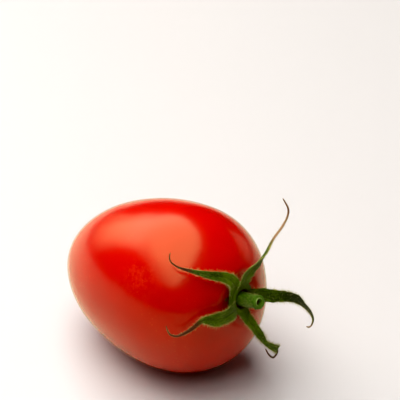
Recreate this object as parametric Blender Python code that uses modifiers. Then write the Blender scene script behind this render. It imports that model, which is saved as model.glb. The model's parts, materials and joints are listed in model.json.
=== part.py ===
# A plum tomato lying on its side, with its star-shaped calyx and a stub of stem.
# Metres, +Z up. The origin is the middle of the small flat spot it rests on, and the stem end points to +X.
import math

import bmesh
import bpy
from mathutils import Matrix, Vector

MM = 0.001

# Fruit, measured along its own axis from the widest section
FRUIT_RADIUS = 24.9 * MM
STEM_END_LENGTH = 25.5 * MM
BLOSSOM_END_LENGTH = 42.6 * MM
STEM_END_FULLNESS = 2.07
BLOSSOM_END_FULLNESS = 1.88
TALLER_THAN_WIDE = 0.013
SHOULDER_LIFT = 2.8 * MM
SHOULDER_LIFT_FROM = 24.0 * MM
LOBE_HEIGHT = 0.6 * MM
HEAVY_LOBE_HEIGHT = 1.4 * MM
HEAVY_LOBE_BEARING = math.radians(-66)
HOLLOW_DEPTH = 3.0 * MM
HOLLOW_RADIUS = 9.0 * MM
SCAR_HEIGHT = 0.25 * MM
SCAR_RADIUS = 1.6 * MM
FRUIT_RINGS = 42
FRUIT_STEPS = 60

# Resting pose
STEM_END_TILT = math.radians(8.7)
FLAT_DEPTH = 0.4 * MM

# Calyx, measured from the middle of its star, which sits on the fruit's axis
CALYX_PLANE = 24.3 * MM
BLADE_THICKNESS = 0.9 * MM
THREAD_THICKNESS = 0.64 * MM
BLADE_CUP = 0.35 * MM
SEPAL_STATIONS = 27
BLADE_SIDES = 10

# Ring that the sepals grow from, as (radius, height) in millimetres, down its outer side
HUB_PROFILE = (
    (2.75, 0.35),
    (3.5, 0.55),
    (4.3, 0.55),
    (4.8, 0.30),
    (4.85, 0.0),
    (4.6, -0.25),
    (3.4, -0.65),
    (2.25, -0.95),
    (2.25, -0.2),
)
HUB_STEPS = 40

# Stem stub
STEM_RADIUS = 1.95 * MM
STEM_BASE_RADIUS = 1.85 * MM
STEM_BASE_HEIGHT = -1.1 * MM
STEM_TOP_HEIGHT = 7.9 * MM
STEM_LEAN = 1.7 * MM
STEM_LEAN_SIDE = -0.6 * MM
STEM_LEAN_BEARING = math.radians(143)
STEM_BORE_RADIUS = 0.75 * MM
STEM_BORE_DEPTH = 1.2 * MM

# Each sepal: the bearing it leaves on (0 is level on the +Y side, 90 is up, seen from the stem end), then
# its middle line from root to tip as (out, side, rise, width) in millimetres and the blade's turn in degrees.
SEPALS = {
    "top_left": (129, (
        (2.9, 0.0, 0.0, 5.0, 0),
        (5.6, -1.0, 0.7, 4.9, 0),
        (8.2, -1.7, 1.0, 3.9, 4),
        (11.4, -1.2, 0.5, 3.3, 8),
        (15.0, 0.5, -1.2, 2.4, 14),
        (18.4, 1.9, -4.1, 1.3, 20),
        (21.2, 2.8, -7.1, 0.8, 20),
        (23.2, 2.6, -8.8, 0.7, 10),
        (24.2, 1.7, -9.3, 0.66, 0),
        (24.9, 0.5, -9.2, 0.64, 0),
    )),
    "top_right": (68, (
        (2.9, 0.2, 0.0, 5.0, 0),
        (5.0, 1.4, 1.2, 4.8, 0),
        (7.2, 2.1, 2.3, 4.0, 6),
        (9.3, 1.6, 3.3, 3.1, 20),
        (11.0, 0.0, 3.9, 2.1, 45),
        (13.6, -2.5, 3.9, 1.5, 70),
        (17.5, -6.0, 3.0, 1.1, 80),
        (21.0, -10.2, 2.1, 0.85, 60),
        (23.7, -12.6, 1.5, 0.7, 30),
        (26.3, -12.3, 1.6, 0.66, 0),
        (29.5, -7.6, 3.0, 0.64, 0),
    )),
    "right": (-11, (
        (2.9, 0.4, 0.0, 5.0, 0),
        (4.4, 0.9, 2.6, 4.6, 0),
        (6.3, 0.8, 5.4, 4.2, 0),
        (8.8, 0.5, 7.0, 3.7, 0),
        (11.8, -0.3, 7.8, 3.1, -6),
        (15.2, -1.9, 7.8, 2.7, -12),
        (19.3, -4.9, 7.0, 2.0, -20),
        (23.8, -8.3, 5.6, 1.3, -20),
        (26.9, -11.5, 4.4, 0.8, 0),
        (27.6, -13.6, 3.6, 0.7, 0),
        (26.8, -14.4, 3.4, 0.66, 0),
        (25.1, -13.8, 3.6, 0.64, 0),
    )),
    "bottom_right": (-90, (
        (2.9, -0.6, 0.1, 5.0, 0),
        (5.0, -0.5, 1.5, 3.9, 0),
        (7.4, 0.0, 3.1, 3.2, 0),
        (10.0, 0.9, 4.2, 2.8, 8),
        (12.3, 1.9, 4.8, 2.1, 18),
        (14.0, 2.8, 5.0, 1.5, 30),
        (16.2, 4.9, 5.0, 2.1, 16),
        (17.8, 6.7, 5.0, 2.4, 6),
        (18.5, 7.4, 5.0, 2.2, 0),
    )),
    "bottom_left": (197, (
        (2.9, 0.0, 0.0, 5.2, 0),
        (4.9, -0.4, 1.5, 5.2, 0),
        (7.2, -1.1, 2.1, 4.7, 0),
        (9.4, -1.8, 2.0, 4.6, 0),
        (11.9, -2.9, 1.5, 4.4, 0),
        (14.0, -4.2, 0.3, 3.2, 10),
        (15.2, -4.4, -0.7, 1.7, 30),
        (18.1, -3.3, -2.5, 1.2, 40),
        (20.9, -2.6, -4.9, 0.8, 20),
        (22.4, -3.6, -6.0, 0.7, 0),
        (22.9, -5.3, -6.2, 0.66, 0),
        (22.8, -7.6, -6.1, 0.64, 0),
    )),
}
# Dry thread that hangs back from the blunt tip of the bottom right sepal
THREAD = (-90, (
    (17.6, 6.6, 4.9, 1.2, 0),
    (18.9, 7.6, 4.7, 0.75, 0),
    (20.2, 7.5, 4.4, 0.68, 0),
    (21.0, 6.3, 4.0, 0.66, 0),
    (19.6, 5.1, 3.6, 0.66, 0),
    (17.3, 4.2, 3.4, 0.64, 0),
))


def clear_scene():
    for item in list(bpy.data.objects):
        bpy.data.objects.remove(item, do_unlink=True)


def collection(name):
    made = bpy.data.collections.new(name)
    bpy.context.scene.collection.children.link(made)
    return made


def material(name, colour, roughness):
    made = bpy.data.materials.new(name)
    made.use_nodes = True
    shader = made.node_tree.nodes["Principled BSDF"]
    shader.inputs["Base Color"].default_value = (*colour, 1.0)
    shader.inputs["Roughness"].default_value = roughness
    shader.inputs["Metallic"].default_value = 0.0
    return made


def add(name, mesh, home):
    item = bpy.data.objects.new(name, mesh)
    home.objects.link(item)
    return item


def mesh_of(name, points, faces):
    mesh = bpy.data.meshes.new(name)
    mesh.from_pydata(points, [], faces)
    mesh.update()
    return mesh


def cutter(name, mesh, home):
    item = add(name, mesh, home)
    item.hide_render = True
    item.display_type = "WIRE"
    return item


def evaluated_mesh(item):
    bpy.context.view_layer.update()
    graph = bpy.context.evaluated_depsgraph_get()
    return bpy.data.meshes.new_from_object(item.evaluated_get(graph))


def turned(name, profile, steps, home):
    """A profile of (radius, height) points, from top to bottom down its outer side, turned about Z."""
    points = [(radius, 0.0, height) for radius, height in profile]
    edges = [(i, i + 1) for i in range(len(points) - 1)]
    mesh = bpy.data.meshes.new(name)
    mesh.from_pydata(points, edges, [])
    item = add(name, mesh, home)
    screw = item.modifiers.new("Turn", "SCREW")
    screw.axis = "Z"
    screw.steps = steps
    screw.render_steps = steps
    screw.use_merge_vertices = True
    screw.merge_threshold = 1e-5
    screw.use_normal_calculate = True
    return item


def fruit_outline(share):
    """(radius, height) on the plain turned outline, for a share from -1 (blossom end) to 1 (stem end)."""
    turn = abs(share) * math.pi / 2
    length = STEM_END_LENGTH if share >= 0 else -BLOSSOM_END_LENGTH
    fullness = STEM_END_FULLNESS if share >= 0 else BLOSSOM_END_FULLNESS
    return FRUIT_RADIUS * math.cos(turn) ** (2 / fullness), length * math.sin(turn) ** (2 / fullness)


def fruit_skin(x, y, z):
    """The finished skin point for a point of the plain turned outline."""
    radius = math.hypot(x, y)
    bearing = math.atan2(-x, y)
    off_lobe = bearing - HEAVY_LOBE_BEARING
    to_stem = max(0.0, z / STEM_END_LENGTH)
    swell = LOBE_HEIGHT * to_stem * min(1.0, 2 * radius / FRUIT_RADIUS) * math.cos(3 * off_lobe)
    swell += HEAVY_LOBE_HEIGHT * to_stem * radius / FRUIT_RADIUS * max(0.0, math.cos(off_lobe)) ** 2
    share = 1 + swell / radius if radius > 0.5 * MM else 1.0
    share -= TALLER_THAN_WIDE * math.cos(2 * bearing)
    lift = SHOULDER_LIFT * min(1.0, max(0.0, z) / SHOULDER_LIFT_FROM) ** 6
    if z > 0 and radius < HOLLOW_RADIUS:
        z -= HOLLOW_DEPTH * (1 - (radius / HOLLOW_RADIUS) ** 2) ** 2
    if z < 0:
        z -= SCAR_HEIGHT * math.exp(-((radius / SCAR_RADIUS) ** 2))
    return x * share - lift, y * share, z


def fruit_blank(home):
    profile = []
    for ring in range(FRUIT_RINGS + 1):
        step = 1 - 2 * ring / FRUIT_RINGS
        share = 0.45 * step + 0.55 * math.sin(step * math.pi / 2)
        profile.append(fruit_outline(share))
    profile[0] = (0.0, STEM_END_LENGTH)
    profile[-1] = (0.0, -BLOSSOM_END_LENGTH)
    blank = turned("fruit_blank", profile, FRUIT_STEPS, home)
    mesh = evaluated_mesh(blank)
    bpy.data.objects.remove(blank, do_unlink=True)
    for vertex in mesh.vertices:
        vertex.co = fruit_skin(*vertex.co)
    return mesh


def rest_spot(mesh):
    """The middle of the outline that a level cut leaves at the flat's depth above the lowest point."""
    level = min(vertex.co.z for vertex in mesh.vertices) + FLAT_DEPTH
    crossings = []
    for edge in mesh.edges:
        a, b = (mesh.vertices[i].co for i in edge.vertices)
        if (a.z - level) * (b.z - level) < 0:
            crossings.append(a.lerp(b, (level - a.z) / (b.z - a.z)).x)
    return Vector(((min(crossings) + max(crossings)) / 2, 0, level))


def smooth_path(stations, count):
    """Even samples of a Catmull-Rom curve through the stations, each of any number of values."""
    ends = [2 * Vector(stations[0]) - Vector(stations[1]), 2 * Vector(stations[-1]) - Vector(stations[-2])]
    knots = [ends[0], *map(Vector, stations), ends[1]]
    samples = []
    for i in range(count):
        place = i / (count - 1) * (len(stations) - 1)
        span = min(int(place), len(stations) - 2)
        t = place - span
        a, b, c, d = knots[span:span + 4]
        samples.append(
            0.5 * (2 * b + (c - a) * t + (2 * a - 5 * b + 4 * c - d) * t * t + (3 * b - a - 3 * c + d) * t ** 3)
        )
    return samples


def calyx_point(bearing, out, side, rise):
    """A point in the fruit's own frame, stem end to +Z and upper side to -X."""
    angle = math.radians(bearing)
    across = out * math.cos(angle) - side * math.sin(angle)
    up = out * math.sin(angle) + side * math.cos(angle)
    return Vector((-up * MM - SHOULDER_LIFT, across * MM, rise * MM + CALYX_PLANE))


def blade(name, bearing, stations, count, home):
    """A closed blade along its middle line: a thin cupped section, closed at the root and the tip."""
    samples = smooth_path(stations, count)
    middle = [calyx_point(bearing, *sample[:3]) for sample in samples]
    points = []
    for i, sample in enumerate(samples):
        along = (middle[min(i + 1, count - 1)] - middle[max(i - 1, 0)]).normalized()
        across = Vector((0, 0, 1)).cross(along).normalized()
        over = along.cross(across)
        turn = Matrix.Rotation(math.radians(sample[4]), 3, along)
        across = turn @ across
        over = turn @ over
        width = max(sample[3] * MM, THREAD_THICKNESS)
        flat = min(1.0, max(0.0, (width - THREAD_THICKNESS) / (2 * MM)))
        thick = THREAD_THICKNESS + (BLADE_THICKNESS - THREAD_THICKNESS) * flat
        for corner in range(BLADE_SIDES):
            angle = 2 * math.pi * corner / BLADE_SIDES
            reach = math.cos(angle)
            depth = math.copysign(abs(math.sin(angle)) ** 0.8, math.sin(angle))
            points.append(
                middle[i] + across * reach * width / 2 + over * (depth * thick / 2 + BLADE_CUP * flat * reach ** 2)
            )
    faces = [tuple(reversed(range(BLADE_SIDES))), tuple((count - 1) * BLADE_SIDES + k for k in range(BLADE_SIDES))]
    for i in range(count - 1):
        for k in range(BLADE_SIDES):
            after = (k + 1) % BLADE_SIDES
            faces.append((
                i * BLADE_SIDES + k,
                i * BLADE_SIDES + after,
                (i + 1) * BLADE_SIDES + after,
                (i + 1) * BLADE_SIDES + k,
            ))
    item = add(name, mesh_of(name, points, faces), home)
    shell = bmesh.new()
    shell.from_mesh(item.data)
    bmesh.ops.recalc_face_normals(shell, faces=shell.faces)
    shell.to_mesh(item.data)
    shell.free()
    return item


def calyx_mesh(home, sepals):
    profile = [(radius * MM, height * MM) for radius, height in HUB_PROFILE]
    hub = turned("calyx_hub", profile + profile[:1], HUB_STEPS, home)
    ring = evaluated_mesh(hub)
    ring.transform(Matrix.Translation((-SHOULDER_LIFT, 0, CALYX_PLANE)))
    closed = bmesh.new()
    closed.from_mesh(ring)
    bmesh.ops.remove_doubles(closed, verts=closed.verts, dist=1e-6)
    bmesh.ops.recalc_face_normals(closed, faces=closed.faces)
    closed.to_mesh(ring)
    closed.free()
    hub.modifiers.clear()
    hub.data = ring
    for name, (bearing, stations) in SEPALS.items():
        blade("sepal_" + name, bearing, stations, SEPAL_STATIONS, sepals)
    blade("sepal_thread", THREAD[0], THREAD[1], 14, sepals)
    union = hub.modifiers.new("Grow together", "BOOLEAN")
    union.operation = "UNION"
    union.operand_type = "COLLECTION"
    union.collection = sepals
    union.solver = "EXACT"
    mesh = evaluated_mesh(hub)
    bpy.data.objects.remove(hub, do_unlink=True)
    for item in list(sepals.objects):
        bpy.data.objects.remove(item, do_unlink=True)
    return mesh


def stem_path():
    """Middle line of the stub: straight out of the calyx, then leaning a little to one side."""
    path = []
    for i in range(9):
        share = i / 8
        height = STEM_BASE_HEIGHT + (STEM_TOP_HEIGHT - STEM_BASE_HEIGHT) * share
        lean = STEM_LEAN * share ** 1.7
        side = STEM_LEAN_SIDE * share ** 1.7
        across = lean * math.cos(STEM_LEAN_BEARING) - side * math.sin(STEM_LEAN_BEARING)
        up = lean * math.sin(STEM_LEAN_BEARING) + side * math.cos(STEM_LEAN_BEARING)
        path.append(Vector((-up - SHOULDER_LIFT, across, CALYX_PLANE + height)))
    return path


def stem_mesh(home):
    path = stem_path()
    line = bpy.data.curves.new("stem_line", "CURVE")
    line.dimensions = "3D"
    line.bevel_depth = STEM_RADIUS
    line.bevel_resolution = 5
    line.use_fill_caps = True
    spline = line.splines.new("POLY")
    spline.points.add(len(path) - 1)
    for i, place in enumerate(path):
        spline.points[i].co = (*place, 1.0)
        spline.points[i].radius = 1.0 if i > 2 else (STEM_BASE_RADIUS + (STEM_RADIUS - STEM_BASE_RADIUS) * i / 3) / STEM_RADIUS
    item = add("stem_line", line, home)
    mesh = evaluated_mesh(item)
    bpy.data.objects.remove(item, do_unlink=True)
    shell = bmesh.new()
    shell.from_mesh(mesh)
    bmesh.ops.remove_doubles(shell, verts=shell.verts, dist=1e-6)
    bmesh.ops.recalc_face_normals(shell, faces=shell.faces)
    shell.to_mesh(mesh)
    shell.free()
    return mesh, path[-1], (path[-1] - path[-2]).normalized()


def shade_smooth(mesh, angle):
    mesh.shade_smooth()
    mesh.set_sharp_from_angle(angle=math.radians(angle))


def main():
    clear_scene()
    tomato = collection("tomato")
    helpers = collection("helpers")
    sepals = collection("sepals")

    red = material("red_skin", (0.56, 0.012, 0.006), 0.25)
    green = material("calyx_green", (0.055, 0.095, 0.012), 0.6)
    stem_green = material("stem_green", (0.045, 0.092, 0.009), 0.5)

    # The fruit's own axis is turned from +Z to +X and its stem end is tipped up
    pose = Matrix.Rotation(math.pi / 2 - STEM_END_TILT, 4, "Y")
    skin = fruit_blank(helpers)
    skin.transform(pose)
    settle = Matrix.Translation(-rest_spot(skin))
    skin.transform(settle)
    fruit = add("fruit", skin, tomato)
    skin.materials.append(red)

    # Flat rest spot
    block = bpy.data.meshes.new("floor_block")
    solid = bmesh.new()
    bmesh.ops.create_cube(solid, size=40 * MM)
    bmesh.ops.translate(solid, verts=solid.verts, vec=(0, 0, -20 * MM))
    solid.to_mesh(block)
    solid.free()
    floor_block = cutter("floor_block", block, helpers)
    flat = fruit.modifiers.new("Flat rest spot", "BOOLEAN")
    flat.operation = "DIFFERENCE"
    flat.object = floor_block
    flat.solver = "EXACT"

    # Calyx
    star = calyx_mesh(helpers, sepals)
    star.transform(settle @ pose)
    star.materials.clear()
    star.materials.append(green)
    add("calyx", star, tomato)

    # Stem stub, with its hollow pith at the cut end
    stub, top, along = stem_mesh(helpers)
    stub.materials.append(stem_green)
    bore = bpy.data.meshes.new("pith_bore")
    solid = bmesh.new()
    bmesh.ops.create_cone(
        solid, cap_ends=True, segments=20, radius1=0.6 * STEM_BORE_RADIUS, radius2=STEM_BORE_RADIUS * 1.15,
        depth=2 * STEM_BORE_DEPTH,
    )
    solid.to_mesh(bore)
    solid.free()
    bore.transform(Matrix.Translation(top) @ along.to_track_quat("Z", "Y").to_matrix().to_4x4())
    for mesh in (stub, bore):
        mesh.transform(settle @ pose)
    stem = add("stem", stub, tomato)
    pith = cutter("pith_bore", bore, helpers)
    hollow = stem.modifiers.new("Hollow pith", "BOOLEAN")
    hollow.operation = "DIFFERENCE"
    hollow.object = pith
    hollow.solver = "EXACT"

    for mesh, angle in ((skin, 30), (star, 60), (stub, 40)):
        shade_smooth(mesh, angle)


main()
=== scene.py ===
# Dresses the plum tomato: glossy skin, hairy calyx and cut stem, on a pale floor under soft light.
# Metres, +Z up. The origin is the middle of the flat spot it rests on, and the stem end points to +X.
import json
import math
import random

import bmesh
import bpy
import numpy as np
from bpy.props import FloatProperty, FloatVectorProperty, IntProperty, PointerProperty
from mathutils import Matrix, Vector, noise

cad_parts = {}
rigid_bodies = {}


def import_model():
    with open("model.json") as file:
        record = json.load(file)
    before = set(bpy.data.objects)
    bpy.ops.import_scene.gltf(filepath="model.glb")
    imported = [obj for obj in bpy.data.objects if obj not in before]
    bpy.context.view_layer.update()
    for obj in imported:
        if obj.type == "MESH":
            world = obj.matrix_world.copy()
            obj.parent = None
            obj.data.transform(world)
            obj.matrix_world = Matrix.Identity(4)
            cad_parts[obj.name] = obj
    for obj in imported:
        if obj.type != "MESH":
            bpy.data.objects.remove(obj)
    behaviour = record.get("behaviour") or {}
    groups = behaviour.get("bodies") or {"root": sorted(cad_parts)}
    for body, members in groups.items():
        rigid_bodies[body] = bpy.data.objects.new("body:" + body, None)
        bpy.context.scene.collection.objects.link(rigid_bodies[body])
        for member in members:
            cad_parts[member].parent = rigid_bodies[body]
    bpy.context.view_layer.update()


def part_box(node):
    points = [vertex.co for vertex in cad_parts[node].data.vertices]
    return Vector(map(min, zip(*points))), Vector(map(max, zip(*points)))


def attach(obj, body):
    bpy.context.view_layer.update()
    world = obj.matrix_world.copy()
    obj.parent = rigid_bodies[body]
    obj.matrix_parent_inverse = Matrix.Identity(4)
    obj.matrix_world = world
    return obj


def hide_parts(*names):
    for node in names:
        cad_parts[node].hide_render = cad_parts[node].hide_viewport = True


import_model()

bl_info = {
    "name": "Plum tomato",
    "version": (1, 0, 0),
    "blender": (4, 5, 0),
    "location": "3D View > Sidebar > Tomato",
    "description": "Builds a plum tomato with its calyx and stem stub, and the stage it is shown on",
    "category": "Object",
}

MM = 0.001

# Each sepal: the bearing it leaves on (0 is level on the +Y side, 90 is up, seen from the stem end), how far
# along it starts to dry, how brown (0) or straw pale (1) its dry part is, then its middle line from root to
# tip as (out, side, rise, width) in millimetres and the blade's turn in degrees.
SEPALS = {
    "top_left": (129, 0.46, 0.1, (
        (2.9, 0.0, 0.0, 5.0, 0),
        (5.6, -1.0, 0.7, 4.9, 0),
        (8.2, -1.7, 1.0, 3.9, 4),
        (11.4, -1.2, 0.5, 3.3, 8),
        (15.0, 0.5, -1.2, 2.4, 14),
        (18.4, 1.9, -4.1, 1.3, 20),
        (21.2, 2.8, -7.1, 0.6, 20),
        (23.2, 2.6, -8.8, 0.42, 10),
        (24.2, 1.7, -9.3, 0.36, 0),
        (24.9, 0.5, -9.2, 0.25, 0),
    )),
    "top_right": (68, 0.48, 0.72, (
        (2.9, 0.2, 0.0, 5.0, 0),
        (5.0, 1.3, 1.2, 5.2, 0),
        (7.2, 1.9, 2.3, 4.9, 4),
        (9.3, 1.4, 3.3, 4.3, 12),
        (11.2, -0.2, 3.9, 3.3, 26),
        (13.6, -2.5, 3.9, 2.6, 38),
        (17.5, -6.0, 3.0, 2.1, 44),
        (21.0, -10.2, 2.1, 1.4, 40),
        (23.7, -12.6, 1.5, 0.8, 30),
        (26.3, -12.3, 1.6, 0.6, 0),
        (29.5, -7.6, 3.0, 0.36, 0),
    )),
    "right": (-11, 0.7, 0.75, (
        (2.9, 0.4, 0.0, 5.0, 0),
        (4.4, 0.9, 2.6, 4.6, 0),
        (6.3, 0.8, 5.4, 4.2, 0),
        (8.8, 0.5, 7.0, 3.7, 0),
        (11.8, -0.3, 7.8, 3.1, -6),
        (15.2, -1.9, 7.8, 2.7, -12),
        (19.3, -4.9, 7.0, 2.0, -20),
        (23.8, -8.3, 5.6, 1.3, -20),
        (26.9, -11.5, 4.4, 0.7, 0),
        (27.6, -13.6, 3.6, 0.5, 0),
        (26.8, -14.4, 3.4, 0.45, 0),
        (25.1, -13.8, 3.6, 0.35, 0),
    )),
    "bottom_right": (-90, 1.1, 0.2, (
        (2.9, -0.6, 0.1, 5.0, 0),
        (5.0, -0.5, 1.5, 3.9, 0),
        (7.4, 0.0, 3.1, 3.2, 0),
        (10.0, 0.9, 4.2, 2.8, 8),
        (12.3, 1.9, 4.8, 2.1, 18),
        (14.0, 2.8, 5.0, 1.5, 30),
        (16.2, 4.9, 5.0, 2.1, 16),
        (17.8, 6.7, 5.0, 2.4, 6),
        (18.5, 7.4, 5.0, 2.2, 0),
    )),
    "bottom_left": (197, 0.44, 0.12, (
        (2.9, 0.0, 0.0, 5.2, 0),
        (4.9, -0.4, 1.5, 5.2, 0),
        (7.2, -1.1, 2.1, 4.7, 0),
        (9.4, -1.8, 2.0, 4.6, 0),
        (11.9, -2.9, 1.5, 4.3, 0),
        (14.0, -4.2, 0.3, 2.6, 12),
        (15.2, -4.4, -0.7, 1.4, 34),
        (18.1, -3.3, -2.5, 1.05, 42),
        (20.9, -2.6, -4.9, 0.7, 20),
        (22.4, -3.6, -6.0, 0.5, 0),
        (22.9, -5.3, -6.2, 0.42, 0),
        (22.8, -7.6, -6.1, 0.3, 0),
    )),
    # Dry thread that hangs back from the blunt tip of the bottom right sepal
    "thread": (-90, -0.4, 0.1, (
        (17.6, 6.6, 4.9, 1.0, 0),
        (18.9, 7.6, 4.7, 0.62, 0),
        (20.2, 7.5, 4.4, 0.58, 0),
        (21.0, 6.3, 4.0, 0.58, 0),
        (19.6, 5.1, 3.6, 0.54, 0),
        (17.3, 4.2, 3.4, 0.4, 0),
    )),
}

# How deep each sepal's green is all over, how much deeper it gets, and how far along that is: partly the sepals'
# own tone, partly painted shade, such as the right sepal's far half that turns away from the light
DEEPNESS_AND_SHADE = {
    "top_left": (-0.22, 0.7, 0.5),
    "top_right": (-0.12, 0.5, 0.52),
    "right": (0.32, 0.9, 0.5),
    "bottom_right": (-0.02, 0.15, 0.52),
    "bottom_left": (0.14, 0.0, 0.52),
    "thread": (0.0, 0.0, 0.52),
}

# Ring that the sepals grow from, as (radius, height) in millimetres, down its outer side
HUB_PROFILE = (
    (2.4, -0.75),
    (2.65, -0.3),
    (2.8, 0.5),
    (2.95, 0.85),
    (3.35, 1.02),
    (3.9, 0.88),
    (4.5, 0.45),
    (4.9, -0.1),
    (4.7, -0.45),
    (3.6, -0.75),
)

# Ring smoothing of the fused calyx, from its inner radius: each (outer radius in millimetres, passes). The
# joins round the ring are smoothed most, the sepals' ends least
HUB_INNER = 2.9
SMOOTHING = ((6.3, 12), (7.5, 5), (40.0, 2))

# Small corky spot beside the calyx: its bearing in degrees, distance from the axis and reach in millimetres
CORK_SPOT = (160, 5.6, 1.3)

# Patch of tiny pale flecks on one flank: its middle and reach in millimetres from the widest section
FLECKED_PLACE = Vector((-13.5, -20.2, 5.4))
FLECKED_REACH = 5

# The big soft light overhead, in metres: its outline as (x, y) at its height, the brightness of its left end
# as a share, and the corners that it folds down to there
WINDOW_OUTLINE = (
    (-2.85, 1.08),
    (-1.90, 0.96),
    (-1.30, 0.88),
    (-0.80, 0.75),
    (-0.48, 0.64),
    (-0.15, 0.46),
    (0.06, 0.32),
    (0.26, 0.12),
    (0.37, -0.10),
    (0.47, -0.38),
    (0.61, -0.78),
    (0.68, -1.08),
    (0.58, -1.32),
    (0.36, -1.42),
    (0.06, -1.24),
    (-0.30, -1.02),
    (-0.70, -0.80),
    (-1.20, -0.68),
    (-1.70, -0.72),
    (-2.85, -0.86),
)
WINDOW_HEIGHT = 1.0
WINDOW_LEFT = 0.68
WINDOW_FOLD = ((-2.85, -0.75, 0.06), (-2.85, 1.45, 0.06))

# Light behind, in metres
BACK_SIZE = (0.42, 0.32)
BACK_PLACE = (0.13, 0.76, 0.24)
BACK_TARGET = (0.0, 0.0, 0.03)

FLOOR_HALF = 0.9
CAMERA_AIM = Vector((0.55 * MM, 13.06 * MM, 46.97 * MM))
CAMERA_LENS = 153.0


def length(name, description, default):
    return FloatProperty(name=name, description=description, default=default, unit="LENGTH", subtype="DISTANCE")


def number(name, description, default):
    return FloatProperty(name=name, description=description, default=default)


def whole(name, description, default, least=0):
    return IntProperty(name=name, description=description, default=default, min=least)


def colour(name, description, default):
    return FloatVectorProperty(
        name=name, description=description, default=default, size=3, min=0, max=1, subtype="COLOR"
    )


def angle(name, description, degrees):
    return FloatProperty(name=name, description=description, default=math.radians(degrees), subtype="ANGLE")


class FruitSettings(bpy.types.PropertyGroup):
    """Sizes and colours of the fruit."""

    radius: length("Radius", "Radius of the widest section", 24.9 * MM)
    stem_end: length("Stem end", "From the widest section to the stem end", 25.5 * MM)
    blossom_end: length("Blossom end", "From the widest section to the blossom end", 42.6 * MM)
    stem_fullness: number("Stem fullness", "Roundness of the stem end, 2 is an ellipse", 2.07)
    blossom_fullness: number("Blossom fullness", "Roundness of the blossom end", 1.88)
    taller: number("Taller than wide", "Share by which the section is taller", 0.013)
    shoulder_lift: length("Shoulder lift", "How far the stem end is bent up", 2.8 * MM)
    lobe_height: length("Lobe height", "Height of the three soft shoulder lobes", 0.6 * MM)
    heavy_lobe: length("Heavy lobe", "Extra height of the heaviest lobe", 1.4 * MM)
    heavy_lobe_bearing: angle("Heavy lobe bearing", "Where the heaviest lobe is, seen from the stem end", -66)
    hollow_depth: length("Hollow depth", "Depth of the hollow under the calyx", 2.8 * MM)
    hollow_radius: length("Hollow radius", "Radius of the hollow under the calyx", 9.0 * MM)
    scar_height: length("Scar height", "Height of the blossom scar", 0.25 * MM)
    scar_radius: length("Scar radius", "Radius of the blossom scar", 1.6 * MM)
    tilt: angle("Tilt", "How far the stem end is tipped up", 8.7)
    rings: whole("Rings", "Rings of faces from end to end", 150, 20)
    steps: whole("Steps", "Faces round the fruit", 180, 20)
    ripe_red: colour("Ripe red", "Main colour of the skin", (0.53, 0.001, 0.0002))
    warm_red: colour("Warm red", "Colour of the lighter patches", (0.58, 0.003, 0.0004))
    fleck: colour("Fleck", "Colour of the tiny pale flecks", (0.75, 0.12, 0.03))
    haze: colour("Haze", "Colour of the faint pale patch on one flank", (0.66, 0.035, 0.016))
    cork: colour("Cork", "Colour of the corky ring under the calyx", (0.27, 0.12, 0.045))
    gloss: colour("Gloss tint", "Tint of the waxy gloss", (1.0, 0.87, 0.42))
    cuticle: colour("Cuticle", "Tint of the thin yellow cuticle over the skin", (1.0, 0.98, 0.82))
    scar: colour("Scar", "Colour of the dry blossom scar", (0.42, 0.19, 0.08))


class CalyxSettings(bpy.types.PropertyGroup):
    """Sizes and colours of the calyx."""

    plane: length("Plane", "Height of the star's plane from the widest section", 24.3 * MM)
    thickness: length("Blade thickness", "Thickness of a sepal at its middle", 0.6 * MM)
    edge: length("Edge thickness", "Thickness of a sepal's edge", 0.3 * MM)
    cup: length("Cup", "How far a sepal's edges curl up", 0.45 * MM)
    wave: length("Wave", "How far a sepal's edges wave up and down", 0.16 * MM)
    grain: length("Grain", "Size of the cells that fuse the sepals into one", 0.13 * MM)
    stations: whole("Stations", "Sections along a sepal", 90, 10)
    sides: whole("Sides", "Points round a sepal's section", 20, 6)
    stretch: number("Streak stretch", "How short the streaks are along a sepal", 0.22)
    hair_length: length("Hair length", "Length of the longest hairs", 1.1 * MM)
    hair_radius: length("Hair radius", "Radius of a hair at its root", 0.027 * MM)
    hairs: whole("Hairs", "Number of hairs on a sepal", 900)
    green: colour("Green", "Main colour of a sepal", (0.155, 0.27, 0.004))
    deep_green: colour("Deep green", "Colour of the darker patches", (0.016, 0.04, 0.0008))
    rim: colour("Rim", "Colour of the pale edge", (0.44, 0.41, 0.09))
    brown: colour("Dry brown", "Colour of the darker dry tissue", (0.085, 0.026, 0.006))
    straw: colour("Dry straw", "Colour of the paler dry tissue", (0.43, 0.24, 0.12))
    hair: colour("Hair", "Colour of the hairs", (0.5, 0.49, 0.14))


class StemSettings(bpy.types.PropertyGroup):
    """Sizes and colours of the stem stub."""

    radius: length("Radius", "Radius of the stem", 1.95 * MM)
    base_radius: length("Base radius", "Radius where it leaves the calyx", 2.15 * MM)
    base_height: length("Base height", "Lower end, from the star's plane", -1.1 * MM)
    top_height: length("Top height", "Cut end, from the star's plane", 7.9 * MM)
    lean: length("Lean", "How far the cut end leans", 1.7 * MM)
    lean_side: length("Lean to the side", "How far the cut end leans across that", -0.6 * MM)
    lean_bearing: angle("Lean bearing", "Which way it leans, seen from the stem end", 143)
    bore_radius: length("Bore radius", "Radius of the hollow pith", 0.82 * MM)
    bore_depth: length("Bore depth", "Depth of the hollow pith", 1.3 * MM)
    green: colour("Green", "Main colour of the stem", (0.015, 0.062, 0.001))
    streak: colour("Streak", "Colour of the paler streaks", (0.085, 0.205, 0.002))
    cut: colour("Cut end", "Colour of the cut end", (0.09, 0.2, 0.005))
    # The lip's colour is partly its own pale tissue and partly a painted highlight on its lit side
    lip_and_highlight: colour("Lip", "Colour of the pale lip round the pith", (0.36, 0.48, 0.12))


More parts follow.
